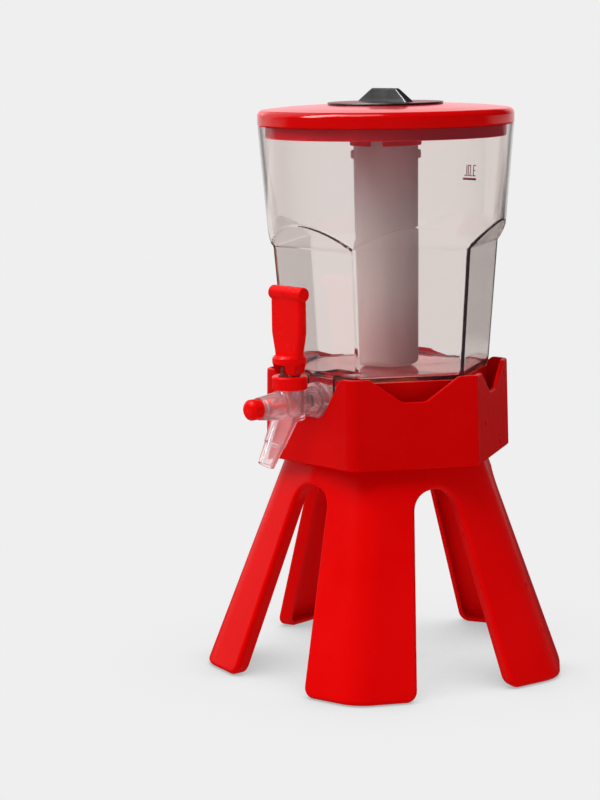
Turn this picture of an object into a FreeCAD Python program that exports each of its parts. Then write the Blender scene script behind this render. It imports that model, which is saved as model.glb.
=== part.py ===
import FreeCAD, Part
import math
import os
import Sketcher
import PartDesign

# Three-litre beer tower: a clear tank with a lever tap, hung in a hexagonal
# collar on a five-legged stand, with a lid that carries an ice tube and a light.
# Millimetres.  Origin: floor, on the tank's axis.  +Z up, the tap points to -Y.

V = FreeCAD.Vector
doc = FreeCAD.newDocument("beer_tower")

# ---------------------------------------------------------------- sizes
SIZES = [
    # stand
    ("leg_ridge_base", 146.0, "leg ridge radius at the floor, before rounding"),
    ("leg_ridge_top", 81.1, "leg ridge radius at the deck, before rounding"),
    ("leg_valley_ratio", 0.9286, "valley radius over ridge radius"),
    ("leg_height", 163.5, "height of the stand"),
    ("leg_round", 30.0, "rounding of ridges and valleys"),
    ("leg_wall", 3.0, "wall of the stand"),
    ("leg_lip", 12.0, "depth of the lip round each arch"),
    ("arch_foot", 38.5, "half width of an arch at the floor"),
    ("arch_head", 15.42, "half width of an arch at its apex height"),
    ("arch_apex", 146.0, "height of an arch"),
    ("arch_round", 17.9, "rounding of an arch's head"),
    ("foot_round", 9.0, "rounding of a foot's corner"),
    ("deck_hole", 50.0, "radius of the hole in the deck"),
    ("screw_circle", 66.0, "radius of the circle of collar screws"),
    # collar
    ("collar_top", 231.0, "height of the crown's peaks"),
    ("collar_across_low", 84.0, "collar apothem at its bottom"),
    ("collar_across_high", 82.8, "collar apothem at its top"),
    ("collar_wall", 3.0, "collar wall"),
    ("collar_soft", 12.0, "corner rounding beside the tap face"),
    ("collar_crisp", 2.0, "corner rounding of the side corners"),
    ("collar_rear", 6.0, "corner rounding of the rear corners"),
    ("crown_low", 213.2, "height of a crown valley"),
    ("notch_low", 199.5, "height of the tap notch's bottom"),
    ("shelf_across", 69.0, "outer apothem of the inner wall that carries the tank"),
    ("shelf_wall", 2.5, "thickness of that wall"),
    ("shelf_top", 226.2, "height of that wall"),
    # tank
    ("tank_floor", 226.5, "underside of the tank"),
    ("tank_wall", 2.7, "tank wall"),
    ("tank_rim", 412.9, "height of the tank's rim"),
    ("tank_round_low", 81.25, "radius of the round form at the tank's floor"),
    ("tank_round_high", 96.72, "radius of the round form at the rim"),
    ("tank_flat_low", 69.5, "apothem of the six-sided form at the floor"),
    ("tank_flat_high", 76.4, "apothem of the six-sided form below the shoulder"),
    ("tank_shoulder_low", 323.8, "height where the shoulder starts"),
    ("tank_shoulder_high", 343.2, "height where the shoulder plane ends"),
    ("tank_shoulder_out", 92.0, "distance of the shoulder plane's end"),
    ("tank_corner", 4.0, "rounding of the six corners"),
    ("sump_round", 15.6, "outer radius of the tap sump"),
    ("sump_front", 70.5, "distance of the sump's front face"),
    ("sump_back", 36.0, "distance of the sump's back end"),
    ("tap_level", 211.0, "height of the tap's horizontal axis"),
    ("tap_reach", 100.0, "distance of the tap's barrel from the tank's axis"),
    # lid, cap, tube
    ("lid_low", 413.2, "underside of the lid's band"),
    ("lid_band_top", 424.6, "top of the lid's band"),
    ("lid_top", 428.3, "highest face of the lid"),
    ("lid_edge", 96.8, "radius of the lid"),
    ("lid_plug", 91.1, "outer radius of the lid's plug skirt"),
    ("lid_plug_low", 404.4, "bottom of the plug skirt"),
    ("lid_hole", 23.0, "radius of the hole under the cap"),
    ("socket_in", 24.8, "inner radius of the tube's socket"),
    ("socket_out", 27.2, "outer radius of the tube's socket"),
    ("socket_low", 397.5, "bottom of the tube's socket"),
    ("tube_neck", 24.4, "outer radius of the tube's neck"),
    ("tube_top", 421.0, "top of the ice tube"),
    ("tube_low", 230.5, "bottom of the ice tube"),
    ("tube_wall", 2.0, "wall of the ice tube"),
    ("cap_edge", 43.7, "radius of the cap's disc"),
    ("cap_under", 428.65, "underside of the cap's disc"),
    ("cap_face", 430.2, "top of the cap's disc"),
    ("cap_spigot", 22.0, "outer radius of the cap's spigot"),
    ("grip_top", 440.0, "top of the finger grip"),
    # tap
    ("barrel_out", 11.0, "outer radius of the barrel"),
    ("barrel_bore", 7.6, "bore of the barrel"),
    ("inlet_out", 10.6, "outer radius of the inlet neck"),
    ("inlet_bore", 5.8, "bore of the inlet"),
    ("seat_hole", 3.4, "radius of the valve seat's hole"),
    ("stub_out", 7.5, "radius of the threaded stub"),
    ("rod_r", 2.25, "radius of the valve rod"),
    ("pivot_level", 236.0, "height of the handle's pivot"),
    ("pin_r", 1.5, "radius of the pivot pin"),
    ("pin_play", 0.05, "radial play on the pivot pin"),
    ("finger_r", 1.5, "radius of the handle's finger"),
    ("finger_ball", 2.4, "radius of the ball on the finger's end"),
    ("bar_r", 5.35, "radius of the roll at the handle's top"),
    ("bar_long", 35.2, "length of that roll"),
    ("paddle_half", 16.4, "half width of the paddle"),
    ("paddle_thick", 7.8, "thickness of the paddle"),
    # light
    ("cell_r", 5.8, "radius of an AG10 cell"),
    ("cell_high", 3.05, "height of an AG10 cell"),
    ("led_shell", 18.5, "outer radius of the light's housing"),
    ("button_r", 2.5, "radius of the light's button"),
]

sheet = doc.addObject("Spreadsheet::Sheet", "Dims")
for row, (alias, value, note) in enumerate(SIZES, start=1):
    sheet.set("A%d" % row, note)
    sheet.set("B%d" % row, "%g" % value)
    sheet.setAlias("B%d" % row, alias)
doc.recompute()


class Size:
    """A length that knows its value and the expression that gives it."""

    def __init__(self, value, text):
        self.v = float(value)
        self.x = text

    def _mix(self, other, sign, back=False):
        other = size(other)
        a, b = (other, self) if back else (self, other)
        v = {"+": a.v + b.v, "-": a.v - b.v, "*": a.v * b.v}.get(sign)
        if v is None:
            v = a.v / b.v
        if "Dims" not in a.x and "Dims" not in b.x:
            return size(v)
        return Size(v, "(%s %s %s)" % (a.x, sign, b.x))

    def __add__(self, o):
        return self._mix(o, "+")

    def __radd__(self, o):
        return self._mix(o, "+", True)

    def __sub__(self, o):
        return self._mix(o, "-")

    def __rsub__(self, o):
        return self._mix(o, "-", True)

    def __mul__(self, o):
        return self._mix(o, "*")

    def __rmul__(self, o):
        return self._mix(o, "*", True)

    def __truediv__(self, o):
        return self._mix(o, "/")

    def __neg__(self):
        return size(0) - self if "Dims" in self.x else size(-self.v)


def size(a):
    if isinstance(a, Size):
        return a
    text = "%.9g" % a
    return Size(a, "(%s)" % text if a < 0 else text)


class Sheet:
    pass


S = Sheet()
for alias, value, note in SIZES:
    setattr(S, alias, Size(float(sheet.get(alias)), "Dims." + alias))


def bind(obj, path, value):
    value = size(value)
    if "Dims" in value.x:
        obj.setExpression(path, value.x)


# ---------------------------------------------------------------- helpers
def origin_feature(body, role):
    for o in body.Origin.OriginFeatures:
        if o.Role == role:
            return o
    raise RuntimeError("no " + role)


def sketch(body, role, pts, name, lift=None):
    """Closed outline through pts = (x, y[, rounding]) on one of the body's origin
    planes.  Every corner is tied to the sheet through its two coordinates."""
    sk = body.newObject("Sketcher::SketchObject", name)
    sk.AttachmentSupport = [(origin_feature(body, role), "")]
    sk.MapMode = "FlatFace"
    if lift is not None:
        sk.AttachmentOffset = FreeCAD.Placement(V(0, 0, size(lift).v), FreeCAD.Rotation())
        bind(sk, "AttachmentOffset.Base.z", lift)
    n = len(pts)
    xy = [(size(p[0]), size(p[1])) for p in pts]
    rr = [size(p[2]) if len(p) > 2 else None for p in pts]
    corners = []
    for i in range(n):
        x, y = xy[i]
        if rr[i] is None or rr[i].v <= 0:
            corners.append(((x, y), (x, y), None))
            continue
        px, py = xy[i - 1]
        nx, ny = xy[(i + 1) % n]
        ux, uy = px.v - x.v, py.v - y.v
        wx, wy = nx.v - x.v, ny.v - y.v
        lu, lw = math.hypot(ux, uy), math.hypot(wx, wy)
        ux, uy, wx, wy = ux / lu, uy / lu, wx / lw, wy / lw
        half = math.acos(max(-1, min(1, ux * wx + uy * wy))) / 2
        f = 1 / math.tan(half)
        r = rr[i]
        bx, by = ux + wx, uy + wy
        lb = math.hypot(bx, by)
        cx = x.v + bx / lb * r.v / math.sin(half)
        cy = y.v + by / lb * r.v / math.sin(half)
        corners.append(((x + r * (f * ux), y + r * (f * uy)),
                        (x + r * (f * wx), y + r * (f * wy)), (cx, cy, r)))
    geo, cons, binds = [], [], []

    def pin(g, pos, X, Y):
        for kind, val, axis in (("DistanceX", X, -2), ("DistanceY", Y, -1)):
            if abs(val.v) < 1e-9:
                cons.append(Sketcher.Constraint("PointOnObject", g, pos, axis))
            else:
                cons.append(Sketcher.Constraint(kind, -1, 1, g, pos, val.v))
                binds.append((len(cons) - 1, val))

    first, last = [], []     # for each corner: (geo, pos) entering and leaving
    lines = []
    for i in range(n):
        a = corners[i][1]
        b = corners[(i + 1) % n][0]
        geo.append(Part.LineSegment(V(a[0].v, a[1].v, 0), V(b[0].v, b[1].v, 0)))
        lines.append(len(geo) - 1)
    for i in range(n):
        enter, leave, arc = corners[i]
        before, after = lines[i - 1], lines[i]
        if arc is None:
            cons.append(Sketcher.Constraint("Coincident", before, 2, after, 1))
            pin(after, 1, leave[0], leave[1])
        else:
            cx, cy, r = arc
            a0 = math.atan2(enter[1].v - cy, enter[0].v - cx)
            a1 = math.atan2(leave[1].v - cy, leave[0].v - cx)
            ccw = math.sin(a1 - a0) > 0
            circle = Part.Circle(V(cx, cy, 0), V(0, 0, 1), r.v)
            if ccw:
                geo.append(Part.ArcOfCircle(circle, a0, a1))
            else:
                geo.append(Part.ArcOfCircle(circle, a1, a0))
            g = len(geo) - 1
            s, e = (1, 2) if ccw else (2, 1)
            cons.append(Sketcher.Constraint("Coincident", before, 2, g, s))
            cons.append(Sketcher.Constraint("Coincident", g, e, after, 1))
            pin(before, 2, enter[0], enter[1])
            pin(after, 1, leave[0], leave[1])
            cons.append(Sketcher.Constraint("Radius", g, r.v))
            binds.append((len(cons) - 1, r))
    sk.addGeometry(geo, False)
    sk.addConstraint(cons)
    for i, val in binds:
        if "Dims" in val.x:
            sk.setExpression("Constraints[%d]" % i, val.x)
    return sk


def new_body(name):
    return doc.addObject("PartDesign::Body", name)


def set_place(obj, pos, rot=None):
    pos = [size(p) for p in pos]
    obj.Placement = FreeCAD.Placement(V(*[p.v for p in pos]), rot or FreeCAD.Rotation())
    for p, axis in zip(pos, "xyz"):
        bind(obj, "Placement.Base." + axis, p)
    return obj


def turned(name, pts, pos=(0, 0, 0), rot=None, angle=360):
    """Body turned about its local Z from a section of (radius, height) corners."""
    b = new_body(name)
    sk = sketch(b, "XZ_Plane", pts, name + "_section")
    f = b.newObject("PartDesign::Revolution", name + "_turned")
    f.Profile = sk
    f.ReferenceAxis = (sk, ["V_Axis"])
    f.Angle = angle
    b.Tip = f
    sk.Visibility = False
    return set_place(b, pos, rot)


def padded(name, role, pts, length, mid=False, back=False, lift=None):
    b = new_body(name)
    sk = sketch(b, role, pts, name + "_outline", lift)
    f = b.newObject("PartDesign::Pad", name + "_pad")
    f.Profile = sk
    f.Length = size(length).v
    bind(f, "Length", length)
    if mid:
        f.Midplane = True
    if back:
        f.Reversed = True
    b.Tip = f
    return b


def lofted(name, sections):
    b = new_body(name)
    sks = [sketch(b, "XY_Plane", p, "%s_level%d" % (name, i), lift=z)
           for i, (p, z) in enumerate(sections)]
    f = b.newObject("PartDesign::AdditiveLoft", name + "_loft")
    f.Profile = sks[0]
    f.Sections = sks[1:]
    f.Ruled = True
    b.Tip = f
    return b


def polar(body, count):
    p = body.newObject("PartDesign::PolarPattern", body.Name + "_round")
    p.Originals = [body.Tip]
    p.Axis = (origin_feature(body, "Z_Axis"), [""])
    p.Angle = 360
    p.Occurrences = count
    body.Tip = p
    return body


def cyl(name, r, h, pos=(0, 0, 0), rot=None):
    o = doc.addObject("Part::Cylinder", name)
    o.Radius, o.Height = size(r).v, size(h).v
    bind(o, "Radius", r)
    bind(o, "Height", h)
    return set_place(o, pos, rot)


def cone(name, r1, r2, h, pos=(0, 0, 0), rot=None):
    o = doc.addObject("Part::Cone", name)
    o.Radius1, o.Radius2, o.Height = size(r1).v, size(r2).v, size(h).v
    bind(o, "Radius1", r1)
    bind(o, "Radius2", r2)
    bind(o, "Height", h)
    return set_place(o, pos, rot)


def box(name, dims, pos, rot=None):
    o = doc.addObject("Part::Box", name)
    for prop, val in zip(("Length", "Width", "Height"), dims):
        setattr(o, prop, size(val).v)
        bind(o, prop, val)
    return set_place(o, pos, rot)


def ball(name, r, pos):
    o = doc.addObject("Part::Sphere", name)
    o.Radius = size(r).v
    bind(o, "Radius", r)
    return set_place(o, pos)


def ring(name, major, minor, pos, rot=None):
    o = doc.addObject("Part::Torus", name)
    o.Radius1, o.Radius2 = size(major).v, size(minor).v
    bind(o, "Radius1", major)
    bind(o, "Radius2", minor)
    return set_place(o, pos, rot)


def cut(name, base, *tools):
    o = None
    for i, tool in enumerate(tools):
        last = i == len(tools) - 1
        o = doc.addObject("Part::Cut", name if last else "%s_cut%d" % (name, i))
        o.Base, o.Tool = base, tool
        base = o
    return o


def fuse(name, *items):
    o = doc.addObject("Part::MultiFuse", name)
    o.Shapes = list(items)
    return o


def common(name, a, b):
    o = doc.addObject("Part::Common", name)
    o.Base, o.Tool = a, b
    return o


def rounded(name, base, radius, pick):
    """Part::Fillet on the edges that pick(edge) chooses."""
    doc.recompute()
    chosen = [i for i, e in enumerate(base.Shape.Edges, start=1) if pick(e)]
    if not chosen:
        raise RuntimeError("no edges for " + name)
    o = doc.addObject("Part::Fillet", name)
    o.Base = base
    o.Edges = [(i, radius, radius) for i in chosen]
    return o


def about_z(deg):
    return FreeCAD.Rotation(V(0, 0, 1), deg)


FORWARD = FreeCAD.Rotation(V(1, 0, 0), 90)      # local Z points to -Y
SIDEWAYS = FreeCAD.Rotation(V(0, 1, 0), 90)     # local Z points to +X
KEEP = []


def keep(obj):
    KEEP.append(obj)
    return obj


# ---------------------------------------------------------------- stand
def star(ridge, valley, round_by):
    """Ten-sided outline: ridges over the legs, valleys between them."""
    pts = []
    for k in range(10):
        a = math.radians(-90 + 36 * (k + 1))         # first ridge at 36 deg from -Y
        r = ridge if k % 2 == 0 else valley
        pts.append((r * math.cos(a), r * math.sin(a), round_by))
    return pts


COS_R, COS_V = math.cos(math.radians(24.5)), math.cos(math.radians(11.5))
slope = (S.leg_ridge_base - S.leg_ridge_top) / S.leg_height


def star_at(z, inward, round_by):
    ridge = S.leg_ridge_base - slope * z
    return star(ridge - size(inward) / COS_R, ridge * S.leg_valley_ratio - size(inward) / COS_V,
                round_by)


def arch(grow, name):
    """Opening between two legs, grown by a margin, cut five times from the axis."""
    g = size(grow)
    rake = math.hypot(1, (38.5 - 15.42) / 146.0)
    low, high = S.arch_foot + g * rake, S.arch_head + g * (rake - 0.158)
    floor_z = g
    pts = [(-95, -10), (95, -10), (95, floor_z), (low - g * 0.158, floor_z, S.foot_round - g),
           (high, S.arch_apex + g, S.arch_round + g * 0.9), (-high, S.arch_apex + g, S.arch_round + g * 0.9),
           (g * 0.158 - low, floor_z, S.foot_round - g), (-95, floor_z)]
    b = padded(name, "XZ_Plane", pts, 170)
    return polar(b, 5)


leg_outer = lofted("leg_outer", [(star_at(0, 0, S.leg_round), 0), (star_at(S.leg_height, 0, S.leg_round), S.leg_height)])
under = S.leg_height - S.leg_wall
leg_inner = lofted("leg_inner", [(star_at(-2, S.leg_wall, S.leg_round - S.leg_wall), -2),
                                 (star_at(under, S.leg_wall, S.leg_round - S.leg_wall), under)])
leg_core = lofted("leg_core", [(star_at(-2, S.leg_lip, 18), -2), (star_at(under, S.leg_lip, 18), under)])
arch_cut = arch(0, "arch_cut")
arch_lip = arch(S.leg_wall, "arch_lip")
leg_hollow = cut("leg_hollow", leg_inner, arch_lip)
leg_space = fuse("leg_space", leg_hollow, leg_core)
leg_open = cut("leg_open", leg_outer, leg_space, arch_cut)
deck_bore = cyl("deck_bore", S.deck_hole, 20, (0, 0, S.leg_height - 10))
screw_holes = []
for k in range(5):
    a = math.radians(-90 + 36 + 72 * k)
    screw_holes.append(cyl("deck_screw_hole%d" % k, 1.7, 20,
                           (S.screw_circle * math.cos(a), S.screw_circle * math.sin(a), S.leg_height - 10)))
deck_cuts = fuse("deck_cuts", deck_bore, *screw_holes)
leg_sharp = cut("leg_sharp", leg_open, deck_cuts)


def arch_edge(e):
    """Edges where an arch breaks through the outer face of the stand."""
    bb = e.BoundBox
    if bb.ZMax < 0.05 or bb.ZMax > 150:
        return False
    p = e.valueAt(e.FirstParameter + 0.5 * (e.LastParameter - e.FirstParameter))
    for k in range(5):
        a = math.radians(-90 + 72 * k)
        out = p.x * math.cos(a) + p.y * math.sin(a)
        side = p.y * math.cos(a) - p.x * math.sin(a)
        if out > 0 and abs(math.atan2(side, out)) < math.radians(36.01):
            ridge = 146.0 - (146.0 - 81.1) / 163.5 * p.z
            return abs(out - (0.9286 * ridge - 0.2035 * abs(side))) < 1.0
    return False


leg_stand = keep(rounded("leg_stand", leg_sharp, 3.0, arch_edge))

# ---------------------------------------------------------------- collar
HEX = [(-60, "soft"), (0, "crisp"), (60, "rear"), (120, "rear"), (180, "crisp"), (240, "soft")]


def hexagon(across, shrink=0):
    """Hexagon with flats square to -Y; its corners have their own roundings."""
    pts = []
    for deg, kind in HEX:
        a = math.radians(deg)
        r = size(across) / math.cos(math.radians(30))
        rnd = {"soft": S.collar_soft, "crisp": S.collar_crisp, "rear": S.collar_rear}[kind]
        if shrink:
            rnd = size(max(rnd.v - shrink, 0.8))
        pts.append((r * math.cos(a), r * math.sin(a), rnd))
    return pts


rise = S.collar_top - S.leg_height
collar_outer = lofted("collar_outer", [
    (hexagon(S.collar_across_low - 0.8), S.leg_height),
    (hexagon(S.collar_across_low), S.leg_height + 0.9),
    (hexagon(S.collar_across_high), S.collar_top)])
collar_inner = lofted("collar_inner", [
    (hexagon(S.collar_across_low - S.collar_wall, 3), S.leg_height + S.collar_wall),
    (hexagon(S.collar_across_high - S.collar_wall, 3), S.collar_top + 5)])
crown = padded("crown", "XZ_Plane", [
    (-47, 250), (-47, S.collar_top), (-34, S.collar_top, 6), (-8.6, S.crown_low, 9),
    (8.6, S.crown_low, 9), (34, S.collar_top, 6), (47, S.collar_top), (47, 250)], 110)
polar(crown, 6)
notch = padded("notch", "XZ_Plane", [
    (-46, 251), (-46, S.collar_top), (-35.3, S.collar_top, 5), (-15.3, S.notch_low, 12),
    (15.3, S.notch_low, 12), (35.3, S.collar_top, 5), (46, S.collar_top), (46, 251)], 120)
collar_shell = cut("collar_shell", collar_outer, collar_inner, crown, notch)


def plain_hexagon(across):
    return [((size(across) / math.cos(math.radians(30))) * math.cos(math.radians(d)),
             (size(across) / math.cos(math.radians(30))) * math.sin(math.radians(d)), 4)
            for d in range(0, 360, 60)]


shelf_out = lofted("shelf_out", [(plain_hexagon(S.shelf_across), S.leg_height + 1),
                                 (plain_hexagon(S.shelf_across), S.shelf_top)])
shelf_in = lofted("shelf_in", [(plain_hexagon(S.shelf_across - S.shelf_wall), S.leg_height),
                               (plain_hexagon(S.shelf_across - S.shelf_wall), S.shelf_top + 1)])
shelf_door = box("shelf_door", (60, 60, 80), (-30, -90, S.leg_height + S.collar_wall))
shelf = cut("shelf", shelf_out, shelf_in, shelf_door)
bosses = []
for k in range(5):
    a = math.radians(-90 + 36 + 72 * k)
    bosses.append(cyl("boss%d" % k, 4.5, 13,
                      (S.screw_circle * math.cos(a), S.screw_circle * math.sin(a), S.leg_height + 1.5)))
collar_sum = fuse("collar_sum", collar_shell, shelf, *bosses)
pilots = []
for k in range(5):
    a = math.radians(-90 + 36 + 72 * k)
    pilots.append(cyl("pilot%d" % k, 1.56, 13,
                      (S.screw_circle * math.cos(a), S.screw_circle * math.sin(a), S.leg_height - 1)))
floor_bore = cyl("floor_bore", S.deck_hole, 10, (0, 0, S.leg_height - 3))
collar_cuts = fuse("collar_cuts", floor_bore, *pilots)
collar_raw = cut("collar_raw", collar_sum, collar_cuts)


def crown_edge(e):
    """Upper outer edges of the crown: above the plate and on the outer wall."""
    bb = e.BoundBox
    if bb.ZMin < 190 or bb.ZMax > 231.2:
        return False
    for t in (0.1, 0.5, 0.9):
        p = e.valueAt(e.FirstParameter + t * (e.LastParameter - e.FirstParameter))
        across = max(p.x * math.cos(math.radians(d)) + p.y * math.sin(math.radians(d))
                     for d in range(-90, 270, 60))
        want = 84.0 - (p.z - 164.4) * 1.2 / 66.6
        if across > want + 0.05 or across < want - 2.2:
            return False
    v = e.Vertexes
    if len(v) == 2 and abs(v[0].Z - v[1].Z) > 5 and abs(v[0].X - v[1].X) + abs(v[0].Y - v[1].Y) < 2:
        return False
    return True


collar = keep(rounded("collar", collar_raw, 1.2, crown_edge))

# screws from below, through the deck into the collar's bosses
screw_bits = []
for k in range(5):
    a = math.radians(-90 + 36 + 72 * k)
    x, y = S.screw_circle * math.cos(a), S.screw_circle * math.sin(a)
    screw_bits.append(cyl("screw_head%d" % k, 3.1, 2.2, (x, y, under - 2.2)))
    screw_bits.append(cyl("screw_shank%d" % k, 1.5, 14, (x, y, under - 0.5)))
screw_slots = []
for k in range(5):
    a = -90 + 36 + 72 * k
    r = FreeCAD.Rotation(V(0, 0, 1), a)
    x, y = 66.0 * math.cos(math.radians(a)), 66.0 * math.sin(math.radians(a))
    d = r.multVec(V(-2.0, -0.4, 0))
    screw_slots.append(box("screw_slot%d" % k, (4, 0.8, 1.2), (x + d.x, y + d.y, under - 2.4), r))
    d = r.multVec(V(-0.4, -2.0, 0))
    screw_slots.append(box("screw_cross%d" % k, (0.8, 4, 1.2), (x + d.x, y + d.y, under - 2.4), r))
collar_screws = keep(cut("collar_screws", fuse("screws_full", *screw_bits), fuse("screw_recesses", *screw_slots)))

# ---------------------------------------------------------------- tank
def tank_form(tag, off, z_low, z_high, foot):
    """Round cone, made six-sided below the shoulder; off is the inward offset.
    foot lists (height above the bottom, inset) pairs that soften the bottom's edge."""
    o = size(off)
    grow = (S.tank_round_high - S.tank_round_low) / (S.tank_rim - S.tank_floor)

    def round_at(z):
        return S.tank_round_low + grow * (size(z) - S.tank_floor) - o

    z_low, z_high = size(z_low), size(z_high)
    body = turned("tank_cone" + tag, [(0, z_low), (round_at(z_low), z_low), (round_at(z_high), z_high), (0, z_high)])
    lean = (S.tank_flat_high - S.tank_flat_low) / (S.tank_shoulder_low - S.tank_floor)

    def hexa(across, corner):
        return [((across / math.cos(math.radians(30))) * math.cos(math.radians(d)),
                 (across / math.cos(math.radians(30))) * math.sin(math.radians(d)), corner)
                for d in range(0, 360, 60)]

    corner = S.tank_corner - o * 0.6
    steps = [(hexa(S.tank_flat_low + lean * (z_low + dz - S.tank_floor) - o - inset, corner), z_low + dz) for dz, inset in foot]
    knee_z = S.tank_shoulder_low + o * 0.48
    knee = hexa(S.tank_flat_high + lean * (knee_z - S.tank_shoulder_low) - o, corner)
    out = hexa(S.tank_shoulder_out, corner)
    # the shoulder plane is offset square to itself
    top_z = S.tank_shoulder_high + o * 1.589
    prism = lofted("tank_six" + tag, steps + [(knee, knee_z), (out, top_z)])
    above = cyl("tank_above" + tag, 130, 120, (0, 0, top_z - 0.01))
    both = fuse("tank_bound" + tag, prism, above)
    return common("tank_solid" + tag, body, both)


tank_out = tank_form("_out", 0, S.tank_floor, S.tank_rim, [(0, 1.5), (0.45, 0.45), (1.5, 0)])
tank_in = tank_form("_in", S.tank_wall, S.tank_floor + S.tank_wall, S.tank_rim + 6, [(0, 3.4), (0.45, 1.9), (1.0, 1.0), (1.9, 0.45), (3.4, 0)])
# sump for the tap: a trough in the floor with a flat front
trough = padded("trough", "XZ_Plane", [
    (-S.sump_round, S.tank_floor + 1.2), (-S.sump_round, S.tap_level - S.sump_round, S.sump_round - 0.05),
    (S.sump_round, S.tap_level - S.sump_round, S.sump_round - 0.05), (S.sump_round, S.tank_floor + 1.2)],
    S.sump_front - S.sump_back)
set_place(trough, (0, -S.sump_back, 0))
front_disc = cyl("front_disc", S.sump_round, 4.5, (0, -S.sump_front + 4.5, S.tap_level), FORWARD)
trough_in = padded("trough_in", "XZ_Plane", [
    (2.5 - S.sump_round, S.tank_floor + S.tank_wall + 0.1), (2.5 - S.sump_round, S.tap_level + 2.5 - S.sump_round, S.sump_round - 2.55),
    (S.sump_round - 2.5, S.tap_level + 2.5 - S.sump_round, S.sump_round - 2.55), (S.sump_round - 2.5, S.tank_floor + S.tank_wall + 0.1)],
    S.sump_front - S.sump_back - 5)
set_place(trough_in, (0, -S.sump_back - 2.5, 0))
foot_ring = turned("foot_ring", [(14.5, S.tank_floor - 1.6), (16.5, S.tank_floor - 1.6, 0.6), (16.5, S.tank_floor + 0.5), (14.5, S.tank_floor + 0.5)])
tank_hole = cyl("tank_hole", 7.8, 12, (0, -S.sump_front + 6, S.tap_level), FORWARD)
tank_sum = fuse("tank_sum", tank_out, trough, front_disc, foot_ring)
trough_mouth = box("trough_mouth", (26.2, 28.3, 3.6), (-13.1, -66.8, 229.0))
tank_sharp = cut("tank_sharp", tank_sum, tank_in, trough_in, trough_mouth, tank_hole)


def shoulder_edge(e):
    """Long edges above and below each shoulder plane, on the outside and on the inside."""
    p = e.valueAt(e.FirstParameter + 0.5 * (e.LastParameter - e.FirstParameter))
    return ((e.Length > 90 and (abs(p.z - 341.7) < 0.3 or abs(p.z - 342.8) < 0.3))
            or (abs(e.Length - 83.6) < 0.3 and abs(p.z - 323.8) < 0.1) or (abs(e.Length - 82.5) < 0.3 and abs(p.z - 325.1) < 0.3))


tank = keep(rounded("tank", tank_sharp, 3.0, shoulder_edge))

# volume mark on the back wall: a bar with 3.0 L over it
mark_z = 366.0
glyphs = [(-7.4, mark_z, 14.8, 1.7)]
STROKES = {
    "3": (2.9, [(0, 0, 2.9, 0.75), (0.5, 4.0, 2.4, 0.75), (0, 8.0, 2.9, 0.75), (2.15, 0, 0.75, 8.75)]),
    ".": (0.8, [(0, 0, 0.8, 0.9)]),
    "0": (3.0, [(0, 0, 3.0, 0.75), (0, 8.0, 3.0, 0.75), (0, 0, 0.75, 8.75), (2.25, 0, 0.75, 8.75)]),
    "L": (2.6, [(0, 0, 2.6, 0.75), (0, 0, 0.75, 8.75)]),
}
pen = -6.3
for sign in ("3", ".", "0", "L"):
    wide, strokes = STROKES[sign]
    for gx, gz, gw, gh in strokes:
        glyphs.append((pen + gx, mark_z + 3.1 + gz, gw, gh))
    pen += wide + 1.0
# seen from behind, the first stroke is at +X
boxes = [box("stroke%d" % i, (gw, 8, gh), (-gx - gw, 89, gz)) for i, (gx, gz, gw, gh) in enumerate(glyphs)]
mark_out = cone("mark_out", 90.5 + 22 * 0.083 + 0.30, 90.5 + 42 * 0.083 + 0.30, 20, (0, 0, 360))
mark_in = cone("mark_in", 90.5 + 21 * 0.083 + 0.06, 90.5 + 43 * 0.083 + 0.06, 22, (0, 0, 359))
level_mark = keep(common("level_mark", cut("mark_shell", mark_out, mark_in), fuse("mark_strokes", *boxes)))

# ---------------------------------------------------------------- tap
ty = -S.tap_reach
barrel = turned("barrel", [(0, 199, 0), (S.barrel_out, 199, 2.0), (S.barrel_out, 222, 0.5), (9.5, 222), (9.5, 228.15), (0, 228.15)],
                (0, ty, 0))
inlet = turned("inlet", [(0, 60), (S.stub_out, 60, 0.6), (S.stub_out, 72.5), (13.6, 72.5, 0.8), (13.6, 76.4, 3.0), (S.inlet_out, 78.5, 1.5),
                         (S.inlet_out - 0.6, 92), (7.5, 96), (0, 96)], (0, 0, S.tap_level), FORWARD)
chamber = turned("chamber", [(0, 100), (9.9, 100), (9.9, 109.2), (11.4, 109.2, 0.5), (11.4, 111.4, 0.5), (10.5, 111.9), (10.3, 114, 3), (8.4, 131.0, 0.5), (0, 131.0)],
                 (0, 0, S.tap_level), FORWARD)
POUR = FreeCAD.Rotation(V(1, 0, 0), 150)        # local Z runs down the spout
spout = turned("spout", [(0, 0), (10.0, 0), (8.1, 26, 0.4), (7.5, 26.3), (6.3, 43, 0.5), (0, 43)],
               (0, -103.0, 205.2), POUR)
tap_solid = fuse("tap_solid", barrel, inlet, chamber, spout)
bore_v = cyl("bore_v", S.barrel_bore, 30, (0, ty, 203))
bore_front = turned("bore_front", [(0, 98), (6.6, 98), (6.6, 140), (0, 140)], (0, 0, S.tap_level), FORWARD)
bore_inlet = turned("bore_inlet", [(0, 50), (S.inlet_bore, 50), (S.inlet_bore, 86.0), (S.seat_hole, 86.0, 0.4), (S.seat_hole, 88.3),
                                   (4.6, 88.3), (4.6, 100), (0, 100)], (0, 0, S.tap_level), FORWARD)
bore_spout = turned("bore_spout", [(0, 2), (6.4, 2), (5.8, 26), (5.2, 27), (4.7, 50), (0, 50)], (0, -103.0, 205.2), POUR)
wiper_seat = cyl("wiper_seat", 8.45, 6, (0, ty, 224.5))
tap_body = keep(cut("tap_body", tap_solid, bore_v, bore_front, bore_inlet, bore_spout, wiper_seat))

bonnet_ring = keep(turned("bonnet_ring", [
    (9.75, 222.5), (13.2, 222.5, 0.9), (13.2, 232.2, 1.3), (8.6, 232.2, 0.6), (7.7, 231.0), (7.7, 228.6), (9.75, 228.6)],
    (0, ty, 0)))

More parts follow.
